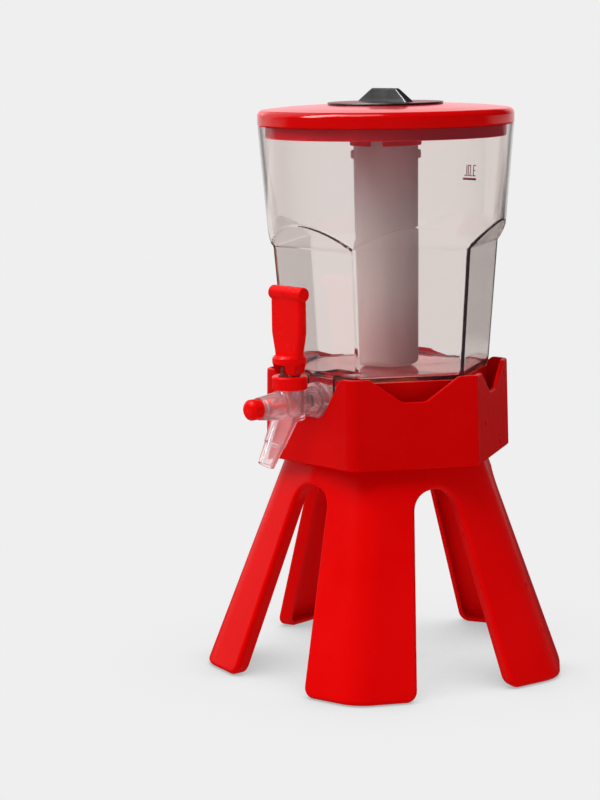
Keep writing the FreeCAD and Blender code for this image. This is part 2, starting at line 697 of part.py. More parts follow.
wiper = cyl("wiper", 8.3, 1.3, (0, ty, 224.55))
wiper_slot = padded("wiper_slot", "XY_Plane", [(-1.9, -2.0, 1.85), (1.9, -2.0, 1.85), (1.9, 5.2, 1.85), (-1.9, 5.2, 1.85)], 10, lift=220)
set_place(wiper_slot, (0, ty, 0))
tap_diaphragm = keep(cut("tap_diaphragm", wiper, wiper_slot))

# bearing block of the lever: a disc held under the bonnet ring, with two lugs that carry the pin
bearing_disc = cyl("bearing_disc", 8.3, 2.4, (0, ty, 225.95))
lug_shape = [(-4.2, 227.0), (4.2, 227.0), (4.2, S.pivot_level + 4.0, 3.9), (-4.2, S.pivot_level + 4.0, 3.9)]
bearing_lug_l = padded("bearing_lug_l", "YZ_Plane", lug_shape, 3.2)
set_place(bearing_lug_l, (-5.7, ty, 0))
bearing_lug_r = padded("bearing_lug_r", "YZ_Plane", lug_shape, 3.2)
set_place(bearing_lug_r, (2.5, ty, 0))
bearing_slot = padded("bearing_slot", "XY_Plane", [(-1.9, -2.0, 1.85), (1.9, -2.0, 1.85), (1.9, 4.8, 1.85), (-1.9, 4.8, 1.85)], 10, lift=220)
set_place(bearing_slot, (0, ty, 0))
bearing_bore = cyl("bearing_bore", S.pin_r + 0.02, 40, (-20, ty, S.pivot_level), SIDEWAYS)
lever_bearing = keep(cut("lever_bearing", fuse("bearing_sum", bearing_disc, bearing_lug_l, bearing_lug_r), bearing_slot, bearing_bore))

pivot_pin = keep(turned("pivot_pin", [(0, -9.35), (S.pin_r, -9.35, 0.3), (S.pin_r, 9.35, 0.3), (0, 9.35)],
                        (0, ty, S.pivot_level), SIDEWAYS))

# handle: ferrule with flats and a fork, paddle, roll, and the finger with its eye
ferrule = turned("ferrule", [(0, 232.5), (7.6, 232.5, 1.0), (11.0, 235.0, 1.5), (11.9, 239.5, 2.0), (12.8, 242.6, 1.0), (12.8, 245.8, 1.6), (11.0, 248.0, 0.6), (0, 248.0)],
                 (0, ty, 0))
flats = [box("flat%d" % i, d, p) for i, (d, p) in enumerate([
    ((6, 9.6, 12.4), (9.6, ty - 4.8, 229.4)), ((6, 9.6, 12.4), (-15.6, ty - 4.8, 229.4)),
    ((12.6, 40, 12.4), (-6.3, ty - 20, 229.0))])]
tilt_room = box("tilt_room", (40, 30, 10), (-20, 0, -10))
set_place(tilt_room, (-20, ty, S.pivot_level - 3.5), FreeCAD.Rotation(V(1, 0, 0), 180 - 15.9))
ferrule_cut = cut("ferrule_cut", ferrule, fuse("flats", *flats), tilt_room)
paddle = padded("paddle", "XZ_Plane", [
    (-12.4, 244.0), (12.4, 244.0), (13.2, 250.0, 12), (S.paddle_half, 264.0, 24), (S.paddle_half, 292.0), (-S.paddle_half, 292.0),
    (-S.paddle_half, 264.0, 24), (-13.2, 250.0, 12)], S.paddle_thick, mid=True)
set_place(paddle, (0, ty, 0))
paddle_soft = rounded("paddle_soft", paddle, 2.6, lambda e: e.Length > 1.0 and abs(abs(e.CenterOfMass.y + 100) - 3.9) < 0.01
                      and abs(e.CenterOfMass.x) > 8 and e.CenterOfMass.z > 245)
half_bar = S.bar_long / 2
roll = turned("roll", [(0, -half_bar), (S.bar_r, -half_bar, 1.5), (S.bar_r, half_bar, 1.5), (0, half_bar)], (0, ty, 293.3), SIDEWAYS)
eye_r = 3.4
eye = cyl("eye", eye_r, 4.2, (-2.1, ty, S.pivot_level), SIDEWAYS)
eye_web = box("eye_web", (4.2, 6.4, 10.0), (-2.1, ty - 3.2, S.pivot_level + 0.5))
finger = cyl("finger", S.finger_r, 24.0, (0, ty, S.tap_level))
finger_end = ball("finger_end", S.finger_ball, (0, ty, S.tap_level))
handle_sum = fuse("handle_sum", ferrule_cut, paddle_soft, roll, eye, eye_web, finger, finger_end)
handle_bore = cyl("handle_bore", S.pin_r + S.pin_play, 40, (-20, ty, S.pivot_level), SIDEWAYS)
tap_handle = keep(cut("tap_handle", handle_sum, handle_bore))

# valve rod with the fork block that the finger's ball works in
rod = turned("rod", [(0, 80.0), (1.6, 80.0), (1.6, 85.7), (S.rod_r, 85.7), (S.rod_r, 96.3), (4.0, 96.3, 0.5), (4.0, 103.7, 0.5),
                     (S.rod_r, 103.7), (S.rod_r, 133.0, 0.6), (0, 133.0)], (0, 0, S.tap_level), FORWARD)
rod_head = turned("rod_head", [(0, 80.2), (3.4, 80.2, 0.4), (3.4, 82.0), (0, 82.0)], (0, 0, S.tap_level), FORWARD)
rod_sum = fuse("rod_sum", rod, rod_head)
rod_slot = box("rod_slot", (5.4, 5.4, 10), (-2.7, ty - 2.7, S.tap_level - 2.8))
tap_shaft = keep(cut("tap_shaft", rod_sum, rod_slot))
seat_washer = keep(turned("seat_washer", [(1.65, 82.05), (5.2, 82.05, 0.5), (5.2, 85.65, 0.3), (1.65, 85.65)], (0, 0, S.tap_level), FORWARD))

front_plug = keep(turned("front_plug", [
    (0, 137.0), (2.33, 137.0), (2.33, 122.6), (6.3, 122.6, 0.4), (6.3, 125.9), (4.9, 125.9), (4.9, 127.7), (6.3, 127.7), (6.3, 131.1),
    (7.75, 131.1, 0.5), (7.75, 139.0, 2.2), (5.2, 141.4, 3.0), (0, 141.8)], (0, 0, S.tap_level), FORWARD))
plug_o_ring = keep(ring("plug_o_ring", 5.75, 0.8, (0, -126.8, S.tap_level), FORWARD))
tank_gasket_outer = keep(turned("tank_gasket_outer", [(7.6, 70.55), (12.9, 70.55, 0.4), (12.9, 72.45, 0.4), (7.6, 72.45)], (0, 0, S.tap_level), FORWARD))
tank_gasket_inner = keep(turned("tank_gasket_inner", [(7.6, 66.4), (11.8, 66.4, 0.4), (11.8, 67.95, 0.4), (7.6, 67.95)], (0, 0, S.tap_level), FORWARD))
nut_hex = padded("nut_hex", "XY_Plane", [(11.6 * math.cos(math.radians(d)), 11.6 * math.sin(math.radians(d)), 0.6) for d in range(0, 360, 60)], 5.0, lift=61.3)
set_place(nut_hex, (0, 0, S.tap_level), FORWARD)
nut_bore = cyl("nut_bore", 7.56, 20, (0, -55, S.tap_level), FORWARD)
tap_lock_nut = keep(cut("tap_lock_nut", nut_hex, nut_bore))

# ---------------------------------------------------------------- lid
lid_turned = turned("lid_turned", [
    (S.lid_hole, S.lid_top - 3.0), (S.socket_in, S.lid_top - 3.0), (S.socket_in, S.socket_low, 0.4), (S.socket_out, S.socket_low, 0.6),
    (S.socket_out, S.lid_top - 3.1, 1.0), (88.4, 421.4, 2.0), (88.4, S.lid_plug_low, 0.6), (S.lid_plug, S.lid_plug_low, 0.8), (S.lid_plug, S.lid_low),
    (S.lid_edge, S.lid_low, 1.4), (S.lid_edge, S.lid_band_top, 4.5), (78.0, 426.6, 160), (46.0, S.lid_top, 120), (S.lid_hole, S.lid_top, 0.4)])
# two L-shaped bayonet slots: the way in, then the quarter where the lugs lock
entry = turned("entry", [(23.5, 396.0), (29.0, 396.0), (29.0, 406.2), (23.5, 406.2)], angle=22)
set_place(entry, (0, 0, 0), about_z(-90 - 11 + 30))
track = turned("track", [(23.5, 401.6), (29.0, 401.6), (29.0, 406.2), (23.5, 406.2)], angle=52)
set_place(track, (0, 0, 0), about_z(-90 - 11))
entry_b = turned("entry_b", [(23.5, 396.0), (29.0, 396.0), (29.0, 406.2), (23.5, 406.2)], angle=22)
set_place(entry_b, (0, 0, 0), about_z(90 - 11 + 30))
track_b = turned("track_b", [(23.5, 401.6), (29.0, 401.6), (29.0, 406.2), (23.5, 406.2)], angle=52)
set_place(track_b, (0, 0, 0), about_z(90 - 11))
lid = keep(cut("lid", lid_turned, fuse("bayonet", entry, track, entry_b, track_b)))

# ---------------------------------------------------------------- ice tube
tube_shell = turned("tube_shell", [
    (0, S.tube_low), (23.3, S.tube_low, 5), (24.5, 392.0), (S.tube_neck, 394.0), (S.tube_neck, S.tube_top, 0.6),
    (S.tube_neck - S.tube_wall, S.tube_top, 0.6), (S.tube_neck - S.tube_wall, 388.0), (21.3, S.tube_low + 2.2, 3.2), (0, S.tube_low + 2.2)])
lug_a = turned("lug_a", [(24.0, 402.1), (26.7, 402.1, 0.3), (26.7, 405.7, 0.3), (24.0, 405.7)], angle=17)
set_place(lug_a, (0, 0, 0), about_z(-90 - 8.5))
lug_b = turned("lug_b", [(24.0, 402.1), (26.7, 402.1, 0.3), (26.7, 405.7, 0.3), (24.0, 405.7)], angle=17)
set_place(lug_b, (0, 0, 0), about_z(90 - 8.5))
ears = []
for i, deg in enumerate((46.0, 226.0)):
    ear = turned("tube_ear%d" % i, [(23.6, 387.6), (26.6, 387.6, 1.4), (26.6, 394.0, 1.4), (23.6, 394.0)], angle=14)
    set_place(ear, (0, 0, 0), about_z(deg - 7))
    ears.append(ear)
ice_tube = keep(fuse("ice_tube", tube_shell, lug_a, lug_b, *ears))

# ---------------------------------------------------------------- cap and light
cap_turned = turned("cap_turned", [
    (0, 427.9), (20.0, 427.9), (20.0, 422.0), (S.cap_spigot, 422.0, 0.4), (S.cap_spigot, 424.2), (21.2, 424.2), (21.2, 425.9), (S.cap_spigot, 425.9),
    (S.cap_spigot, S.cap_under), (S.cap_edge, S.cap_under, 0.3), (S.cap_edge, S.cap_face - 0.35, 0.6), (0, S.cap_face + 0.25)])
def bar_outline(half_long, half_wide, rnd):
    return [(-half_long, -half_wide, rnd), (half_long, -half_wide, rnd), (half_long, half_wide, rnd), (-half_long, half_wide, rnd)]
grip = lofted("grip", [(bar_outline(27.0, 4.3, 2.2), S.cap_face - 0.2), (bar_outline(25.4, 3.9, 2.0), S.cap_face + 1.2),
                       (bar_outline(14.6, 2.3, 1.4), S.grip_top - 1.0), (bar_outline(13.0, 1.5, 0.9), S.grip_top)])
cap = keep(fuse("cap", cap_turned, grip))
cap_seal = keep(ring("cap_seal", 22.08, 0.78, (0, 0, 425.05)))

led_housing_raw = turned("led_housing_raw", [
    (0, 404.0), (S.led_shell, 404.0, 1.5), (S.led_shell, 421.6), (19.7, 421.9), (19.7, 427.6), (17.6, 427.6), (17.6, 425.6), (S.led_shell - 1.8, 425.6),
    (S.led_shell - 1.8, 405.8, 0.8), (0, 405.8)])
window = cyl("window", 8.5, 6, (0, 0, 402))
button_hole = cyl("button_hole", S.button_r + 0.1, 6, (12.9, 0, 402))
door_boss = [cyl("door_boss%d" % i, 2.6, 20.2, (x, y, 405.0)) for i, (x, y) in enumerate([(0, 14.6), (0, -14.6)])]
boss_hole = [cyl("boss_hole%d" % i, 0.86, 20, (x, y, 414)) for i, (x, y) in enumerate([(0, 14.6), (0, -14.6)])]
led_housing = keep(cut("led_housing", fuse("led_housing_sum", led_housing_raw, *door_boss), window, button_hole, fuse("boss_holes", *boss_hole)))
led_lens = keep(turned("led_lens", [(0, 401.6), (5.0, 402.0, 4), (8.4, 404.0), (8.4, 405.85), (9.4, 405.85), (9.4, 406.6), (0, 406.6)]))
board_plate = cyl("board_plate", 16.2, 1.2, (0, 0, 408.6))
board_holes = fuse("board_holes", *[cyl("board_hole%d" % i, 2.9, 6, (x, y, 406)) for i, (x, y) in enumerate([(0, 14.6), (0, -14.6)])])
led_board = keep(cut("led_board", board_plate, board_holes))
chips = []
for i, a in enumerate((90, 210, 330)):
    x, y = 4.2 * math.cos(math.radians(a)), 4.2 * math.sin(math.radians(a))
    chips.append(fuse("chip%d" % i, box("chip_base%d" % i, (3.0, 3.0, 0.8), (x - 1.5, y - 1.5, 407.75)),
                      cone("chip_dome%d" % i, 0.8, 1.2, 0.7, (x, y, 407.1))))
led_chips = keep(fuse("led_chips", *chips))
cells = [turned("cell%d" % i, [(0, 410.3 + 3.1 * i), (S.cell_r - 0.7, 410.3 + 3.1 * i), (S.cell_r - 0.7, 410.6 + 3.1 * i), (S.cell_r, 410.75 + 3.1 * i, 0.2),
                               (S.cell_r, 413.35 + 3.1 * i, 0.3), (0, 413.35 + 3.1 * i)]) for i in range(3)]
battery_cells = keep(fuse("battery_cells", *cells))
contact_low = box("contact_low", (9, 4, 0.35), (-4.5, -2, 409.85))
contact_top = box("contact_top", (14, 4, 0.35), (-4.5, -2, 419.65))
contact_leg = box("contact_leg", (0.35, 4, 10.0), (9.5, -2, 410.0))
battery_contacts = keep(fuse("battery_contacts", contact_low, contact_top, contact_leg))
holder = turned("holder", [(6.1, 409.85), (7.2, 409.85), (7.2, 419.55), (6.1, 419.55)])
battery_holder = keep(cut("battery_holder", holder, box("holder_gap", (8, 5, 20), (4, -2.5, 408))))
door_disc = cyl("door_disc", 17.5, 1.5, (0, 0, 425.75))
door_holes = fuse("door_holes", *[cyl("door_hole%d" % i, 1.15, 6, (x, y, 423)) for i, (x, y) in enumerate([(0, 14.6), (0, -14.6)])])
door_pull = box("door_pull", (10, 1.6, 0.6), (-5, -0.8, 426.8))
battery_door = keep(cut("battery_door", door_disc, door_holes, door_pull))
door_screw_bits = []
for i, (x, y) in enumerate([(0, 14.6), (0, -14.6)]):
    door_screw_bits.append(cyl("door_screw_head%d" % i, 1.9, 0.5, (x, y, 427.27)))
    door_screw_bits.append(cyl("door_screw_shank%d" % i, 0.8, 7.5, (x, y, 420.0)))
door_screws = keep(fuse("door_screws", *door_screw_bits))
light_button = keep(turned("light_button", [(0, 402.3), (S.button_r, 402.3, 0.6), (S.button_r, 406.1), (3.1, 406.1), (3.1, 407.2), (0, 407.2)], (12.9, 0, 0)))

# ---------------------------------------------------------------- write
doc.recompute()
bad = []
for o in doc.Objects:
    if any(word in o.State for word in ("Invalid", "Error")):
        bad.append((o.Name, list(o.State)))
for o in KEEP:
    s = o.Shape
    if s.isNull() or not s.isValid() or not s.Solids:
        bad.append((o.Name, "shape"))
if bad:
    raise RuntimeError("failed: %r" % bad)

os.makedirs("parts", exist_ok=True)
for o in KEEP:
    s = o.Shape
    print("%-18s solids %2d  volume %10.1f mm3  faces %3d" % (o.Label, len(s.Solids), s.Volume, len(s.Faces)))
    s.exportStep("parts/%s.step" % o.Label)
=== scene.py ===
import math

import bpy
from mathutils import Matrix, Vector

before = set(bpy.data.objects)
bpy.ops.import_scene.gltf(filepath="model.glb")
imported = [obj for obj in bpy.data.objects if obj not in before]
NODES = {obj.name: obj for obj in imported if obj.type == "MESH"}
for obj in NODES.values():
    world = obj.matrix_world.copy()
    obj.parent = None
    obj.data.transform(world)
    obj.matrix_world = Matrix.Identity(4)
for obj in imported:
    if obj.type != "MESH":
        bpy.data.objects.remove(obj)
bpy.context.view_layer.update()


# ------------------------------------------------------------------ node helpers
class Tree:
    """Short way to write a material's nodes."""

    def __init__(self, name):
        self.mat = bpy.data.materials.new(name)
        self.mat.use_nodes = True
        self.nt = self.mat.node_tree
        self.nt.nodes.clear()
        self.out = self.nt.nodes.new("ShaderNodeOutputMaterial")
        self._coord = None

    def n(self, kind, **props):
        node = self.nt.nodes.new(kind)
        for k, v in props.items():
            setattr(node, k, v)
        return node

    def wire(self, a, b):
        self.nt.links.new(a, b)

    @property
    def where(self):
        if self._coord is None:
            self._coord = self.n("ShaderNodeTexCoord").outputs["Object"]
        return self._coord

    def mapped(self, scale=(1, 1, 1), rot=(0, 0, 0), loc=(0, 0, 0)):
        m = self.n("ShaderNodeMapping")
        m.inputs["Scale"].default_value = scale
        m.inputs["Rotation"].default_value = rot
        m.inputs["Location"].default_value = loc
        self.wire(self.where, m.inputs["Vector"])
        return m.outputs["Vector"]

    def noise(self, scale, detail=3.0, rough=0.5, vector=None, distortion=0.0):
        t = self.n("ShaderNodeTexNoise")
        t.inputs["Scale"].default_value = scale
        t.inputs["Detail"].default_value = detail
        t.inputs["Roughness"].default_value = rough
        t.inputs["Distortion"].default_value = distortion
        self.wire(vector or self.where, t.inputs["Vector"])
        return t.outputs["Fac"]

    def remap(self, value, lo, hi, a=0.0, b=1.0, smooth=False):
        m = self.n("ShaderNodeMapRange")
        if smooth:
            m.interpolation_type = "SMOOTHSTEP"
        m.inputs["From Min"].default_value = lo
        m.inputs["From Max"].default_value = hi
        m.inputs["To Min"].default_value = a
        m.inputs["To Max"].default_value = b
        self.wire(value, m.inputs["Value"])
        return m.outputs["Result"]

    def math(self, op, a, b=None):
        m = self.n("ShaderNodeMath", operation=op)
        for i, v in enumerate((a, b)):
            if v is None:
                continue
            if isinstance(v, (int, float)):
                m.inputs[i].default_value = v
            else:
                self.wire(v, m.inputs[i])
        return m.outputs[0]

    def mix(self, factor, a, b):
        m = self.n("ShaderNodeMix", data_type="RGBA")
        for sock, v in ((m.inputs[0], factor), (m.inputs[6], a), (m.inputs[7], b)):
            if isinstance(v, (int, float)):
                sock.default_value = v
            elif isinstance(v, tuple):
                sock.default_value = (*v, 1.0)
            else:
                self.wire(v, sock)
        return m.outputs[2]

    def bump(self, height, strength, distance, normal=None):
        b = self.n("ShaderNodeBump")
        b.inputs["Strength"].default_value = strength
        b.inputs["Distance"].default_value = distance
        self.wire(height, b.inputs["Height"])
        if normal is not None:
            self.wire(normal, b.inputs["Normal"])
        return b.outputs["Normal"]

    def principled(self, **values):
        p = self.n("ShaderNodeBsdfPrincipled")
        for k, v in values.items():
            sock = p.inputs[k.replace("_", " ")]
            if isinstance(v, bpy.types.NodeSocket):
                self.wire(v, sock)
            elif isinstance(v, tuple) and len(v) == 3 and sock.type == "RGBA":
                sock.default_value = (*v, 1.0)
            else:
                sock.default_value = v
        return p

    def close(self, shader):
        self.wire(shader, self.out.inputs["Surface"])
        return self.mat


def plastic(name, colour, rough, grain=0.00004, grain_scale=900.0, shift=0.05, waves=0.0, spec=0.5, stint=(1, 1, 1), coat=0.0, ior=1.49, edge=0.0):
    """Injection-moulded plastic: a faint cloudiness, an even fine grain and slow waves from the tool."""
    t = Tree(name)
    cloud = t.remap(t.noise(9.0, 4.0, 0.6), 0.3, 0.7, 0.0, 1.0)
    dark = tuple(c * (1 - shift) for c in colour)
    light = tuple(min(1.0, c * (1 + shift * 0.6) + 0.002) for c in colour)
    base = t.mix(cloud, dark, light)
    wear = t.remap(t.noise(60.0, 5.0, 0.65), 0.3, 0.75, rough * 0.88, rough * 1.16)
    soft = None
    if edge:
        bevel = t.n("ShaderNodeBevel", samples=6)
        bevel.inputs["Radius"].default_value = edge
        soft = bevel.outputs["Normal"]
    fine = t.bump(t.noise(grain_scale, 2.0, 0.5), 0.5, grain, soft)
    slow = t.bump(t.noise(20.0, 1.0, 0.4), 0.4, 0.00005 + waves, fine)
    p = t.principled(Base_Color=base, Roughness=wear, Normal=slow, IOR=ior)
    p.inputs["Specular IOR Level"].default_value = spec
    p.inputs["Specular Tint"].default_value = (*stint, 1)
    if coat:
        p.inputs["Coat Weight"].default_value = coat
        p.inputs["Coat Roughness"].default_value = 0.08
    return t.close(p.outputs[0])


def clear(name, tint, density, rough, shadow, waves, ior=1.5, haze=0.0, milk=(0.9, 0.88, 0.88)):
    """Clear plastic that takes light by its depth, with slow ripples from the mould."""
    t = Tree(name)
    ripple = t.bump(t.noise(22.0, 2.0, 0.5, t.mapped((1, 1, 0.45))), 0.5, waves)
    scuff = t.remap(t.noise(70.0, 5.0, 0.7), 0.45, 0.8, rough, rough + 0.05)
    p = t.principled(Base_Color=(1.0, 1.0, 1.0), Roughness=scuff, Transmission_Weight=1.0, IOR=ior, Normal=ripple)
    shell = p.outputs[0]
    if haze:
        veil = t.n("ShaderNodeBsdfDiffuse")
        veil.inputs["Color"].default_value = (*milk, 1)
        m = t.n("ShaderNodeMixShader")
        m.inputs[0].default_value = haze
        t.wire(shell, m.inputs[1])
        t.wire(veil.outputs[0], m.inputs[2])
        shell = m.outputs[0]
    through = t.n("ShaderNodeBsdfTransparent")
    through.inputs["Color"].default_value = (*shadow, 1)
    path = t.n("ShaderNodeLightPath")
    m = t.n("ShaderNodeMixShader")
    t.wire(path.outputs["Is Shadow Ray"], m.inputs[0])
    t.wire(shell, m.inputs[1])
    t.wire(through.outputs[0], m.inputs[2])
    vol = t.n("ShaderNodeVolumeAbsorption")
    vol.inputs["Color"].default_value = (*tint, 1)
    vol.inputs["Density"].default_value = density
    t.wire(vol.outputs[0], t.out.inputs["Volume"])
    return t.close(m.outputs[0])


def frosted(name):
    t = Tree(name)
    cloud = t.remap(t.noise(14.0, 3.0, 0.55, t.mapped((1, 1, 0.3))), 0.3, 0.7, 0.0, 1.0)
    base = t.mix(cloud, (0.81, 0.79, 0.79), (0.86, 0.84, 0.84))
    xyz = t.n("ShaderNodeSeparateXYZ")
    t.wire(t.where, xyz.inputs[0])
    # painted glow: a pink tint toward the tube's top stands in for red light the lid casts on it
    painted_lid_glow = t.remap(xyz.outputs["Z"], 0.340, 0.412, 0.0, 1.0, True)
    # painted shade: a darker, pinker tint toward the tube's foot
    painted_foot_shade = t.remap(xyz.outputs["Z"], 0.300, 0.236, 0.0, 1.0, True)
    base = t.mix(t.math("MULTIPLY", painted_lid_glow, 0.80), base, (0.78, 0.52, 0.56))
    base = t.mix(t.math("MULTIPLY", painted_foot_shade, 0.75), base, (0.72, 0.53, 0.55))
    fine = t.bump(t.noise(1400.0, 2.0, 0.5), 0.4, 0.00003)
    p = t.principled(Base_Color=base, Roughness=0.42, Normal=fine, IOR=1.48)
    p.inputs["Subsurface Weight"].default_value = 0.0
    milk = t.n("ShaderNodeBsdfTranslucent")
    t.wire(base, milk.inputs["Color"])
    m = t.n("ShaderNodeMixShader")
    m.inputs[0].default_value = 0.52
    t.wire(p.outputs[0], m.inputs[1])
    t.wire(milk.outputs[0], m.inputs[2])
    return t.close(m.outputs[0])


def metal(name, colour, rough, turned_about=None, scratch=0.00002):
    t = Tree(name)
    v = t.mapped((40, 40, 900)) if turned_about is None else t.mapped(turned_about)
    lines = t.noise(1.0, 4.0, 0.6, v)
    r = t.remap(lines, 0.3, 0.7, rough * 0.8, rough * 1.3)
    tone = t.mix(t.remap(t.noise(120.0, 3.0), 0.3, 0.7), tuple(c * 0.9 for c in colour), colour)
    nrm = t.bump(lines, 0.4, scratch)
    p = t.principled(Base_Color=tone, Roughness=r, Metallic=1.0, Normal=nrm)
    return t.close(p.outputs[0])


def rubber(name, colour, rough=0.75, spec=0.35):
    t = Tree(name)
    base = t.mix(t.remap(t.noise(160.0, 4.0), 0.3, 0.7), tuple(c * 0.85 for c in colour), tuple(min(1, c * 1.1) for c in colour))
    nrm = t.bump(t.noise(2200.0, 2.0), 0.5, 0.00003)
    r = t.remap(t.noise(300.0, 3.0), 0.3, 0.7, rough * 0.9, min(1.0, rough * 1.1))
    p = t.principled(Base_Color=base, Roughness=r, Normal=nrm)
    p.inputs["Specular IOR Level"].default_value = spec
    return t.close(p.outputs[0])


def ink(name):
    t = Tree(name)
    spots = t.remap(t.noise(2600.0, 3.0), 0.30, 0.42, 0.0, 1.0)
    base = t.mix(spots, (0.55, 0.16, 0.18), (0.62, 0.03, 0.05))
    p = t.principled(Base_Color=base, Roughness=0.45)
    return t.close(p.outputs[0])


def circuit(name):
    t = Tree(name)
    v = t.n("ShaderNodeTexVoronoi", feature="DISTANCE_TO_EDGE")
    v.inputs["Scale"].default_value = 420.0
    t.wire(t.where, v.inputs["Vector"])
    track = t.remap(v.outputs["Distance"], 0.05, 0.09, 1.0, 0.0)
    base = t.mix(track, (0.012, 0.14, 0.05), (0.03, 0.26, 0.09))
    nrm = t.bump(track, 0.6, 0.00005)
    p = t.principled(Base_Color=base, Roughness=t.remap(track, 0, 1, 0.32, 0.22), Normal=nrm)
    return t.close(p.outputs[0])


RED = (0.74, 0.0004, 0.0005)
M = {
    "stand": plastic("red_stand", RED, 0.30, grain=0.00002, spec=0.10, stint=(1.0, 0.06, 0.06)),
    # painted shade: the collar takes the stand's red made 14% darker
    "collar": plastic("red_collar", tuple(c * 0.86 for c in RED), 0.30, grain=0.00002, spec=0.10, stint=(1.0, 0.06, 0.06)),
    "lid": plastic("red_lid", tuple(c * 0.90 for c in RED), 0.12, grain=0.000006, spec=0.42, stint=(1.0, 0.55, 0.55)),
    "tapred": plastic("red_tap", (0.84, 0.0006, 0.0006), 0.27, grain=0.000006, spec=0.20, stint=(1.0, 0.2, 0.2)),
    "tank": clear("smoky_clear", (0.72, 0.32, 0.08), 36.0, 0.012, (0.955, 0.92, 0.90), 0.00010, 1.5, haze=0.013, milk=(0.66, 0.46, 0.66)),
    "tap": clear("tap_clear", (0.80, 0.16, 0.28), 50.0, 0.07, (0.94, 0.90, 0.89), 0.0002, 1.42, haze=0.14, milk=(0.86, 0.70, 0.69)),
    "frost": frosted("frosted_white"),
    "black": plastic("black_satin", (0.020, 0.017, 0.019), 0.30, grain=0.00003, shift=0.12, spec=0.8),
    "button": plastic("black_button", (0.014, 0.014, 0.015), 0.38, grain=0.00004, shift=0.12),
    "white": plastic("white_satin", (0.80, 0.80, 0.78), 0.36, grain=0.00004, shift=0.03),
    "ink": ink("mark_red"),
    "rubber": rubber("black_rubber", (0.02, 0.02, 0.021)),
    "silicone": rubber("silicone_milky", (0.66, 0.52, 0.52), 0.5, 0.4),
    "steel": metal("plated_steel", (0.62, 0.62, 0.64), 0.26),
    "cell": metal("nickel_cell", (0.72, 0.71, 0.68), 0.22, (300, 300, 20)),
    "board": circuit("green_board"),
    "lens": clear("lens_clear", (0.9, 0.9, 0.9), 4.0, 0.02, (0.94, 0.94, 0.94), 0.00003),
    "led": plastic("led_epoxy", (0.85, 0.62, 0.12), 0.22, grain=0.00001, shift=0.08),
}
WEARS = {
    "leg_stand": "stand", "collar": "collar", "collar_screws": "steel", "tank": "tank", "level_mark": "ink",
    "tap_body": "tap", "bonnet_ring": "tapred", "tap_diaphragm": "silicone", "lever_bearing": "tap", "pivot_pin": "steel", "tap_handle": "tapred",
    "tap_shaft": "tapred", "seat_washer": "rubber", "front_plug": "tapred", "plug_o_ring": "silicone",
    "tank_gasket_outer": "silicone", "tank_gasket_inner": "silicone", "tap_lock_nut": "tap", "lid": "lid", "ice_tube": "frost",
    "cap": "black", "cap_seal": "rubber", "led_housing": "white", "led_lens": "lens", "led_board": "board", "led_chips": "led",
    "battery_cells": "cell", "battery_contacts": "steel", "battery_holder": "white", "battery_door": "white",
    "door_screws": "steel", "light_button": "button",
}
for name, obj in NODES.items():
    obj.data.materials.clear()
    obj.data.materials.append(M[WEARS[name]])
    # the faces of one moulding flow into each other, and only real corners stay sharp
    weld = obj.modifiers.new("weld", "WELD")
    weld.merge_threshold = 0.000004
    crease = obj.modifiers.new("crease", "EDGE_SPLIT")
    crease.split_angle = math.radians(24)
    crease.use_edge_sharp = False
    flow = obj.modifiers.new("flow", "WEIGHTED_NORMAL")
    flow.mode = "FACE_AREA_WITH_ANGLE"
    flow.weight = 50
    flow.keep_sharp = False


# ------------------------------------------------------------------ stage
def sheet_mesh(name, pts, faces):
    me = bpy.data.meshes.new(name)
    me.from_pydata(pts, [], faces)
    ob = bpy.data.objects.new(name, me)
    bpy.context.scene.collection.objects.link(ob)
    return ob


PALE = 0.863


def by_ray(nt, camera, through, inner, gloss, diffuse):
    """Colour that depends on how a ray arrived: seen straight, through clear plastic, mirrored or scattered.

    A ray that was mirrored or scattered inside the clear plastic before it left takes the inner colour."""
    path = nt.nodes.new("ShaderNodeLightPath")

    def either(fac, a, b):
        m = nt.nodes.new("ShaderNodeMix")
        m.data_type = "RGBA"
        nt.links.new(fac, m.inputs[0])
        for sock, v in ((m.inputs[6], a), (m.inputs[7], b)):
            if isinstance(v, (int, float)):
                sock.default_value = (v, v, v, 1)
            elif isinstance(v, tuple):
                sock.default_value = (*v, 1)
            else:
                nt.links.new(v, sock)
        return m.outputs[2]

    c = either(path.outputs["Is Glossy Ray"], camera, gloss)
    turned = nt.nodes.new("ShaderNodeMath")
    turned.operation = "ADD"
    turned.use_clamp = True
    nt.links.new(path.outputs["Diffuse Depth"], turned.inputs[0])
    nt.links.new(path.outputs["Glossy Depth"], turned.inputs[1])
    c = either(path.outputs["Is Transmission Ray"], c, either(turned.outputs[0], through, inner))
    return either(path.outputs["Is Diffuse Ray"], c, diffuse)


BACK = (-0.7193, 0.6947, 0.0)       # level direction from the viewer past the object
RIGHT = (0.6947, 0.7193, 0.0)


def smooth_step(nt, value, lo, hi, a, b):
    m = nt.nodes.new("ShaderNodeMapRange")
    m.interpolation_type = "SMOOTHSTEP"
    for k, v in (("From Min", lo), ("From Max", hi), ("To Min", a), ("To Max", b)):
        m.inputs[k].default_value = v
    nt.links.new(value, m.inputs["Value"])
    return m.outputs["Result"]


def dot_with(nt, vec, axis):
    d = nt.nodes.new("ShaderNodeVectorMath")
    d.operation = "DOT_PRODUCT"
    nt.links.new(vec, d.inputs[0])
    d.inputs[1].default_value = axis
    return d.outputs["Value"]


def combine(nt, op, a, b):
    m = nt.nodes.new("ShaderNodeMath")
    m.operation = op
    for i, v in enumerate((a, b)):
        if isinstance(v, (int, float)):
            m.inputs[i].default_value = v
        else:
            nt.links.new(v, m.inputs[i])
    return m.outputs[0]


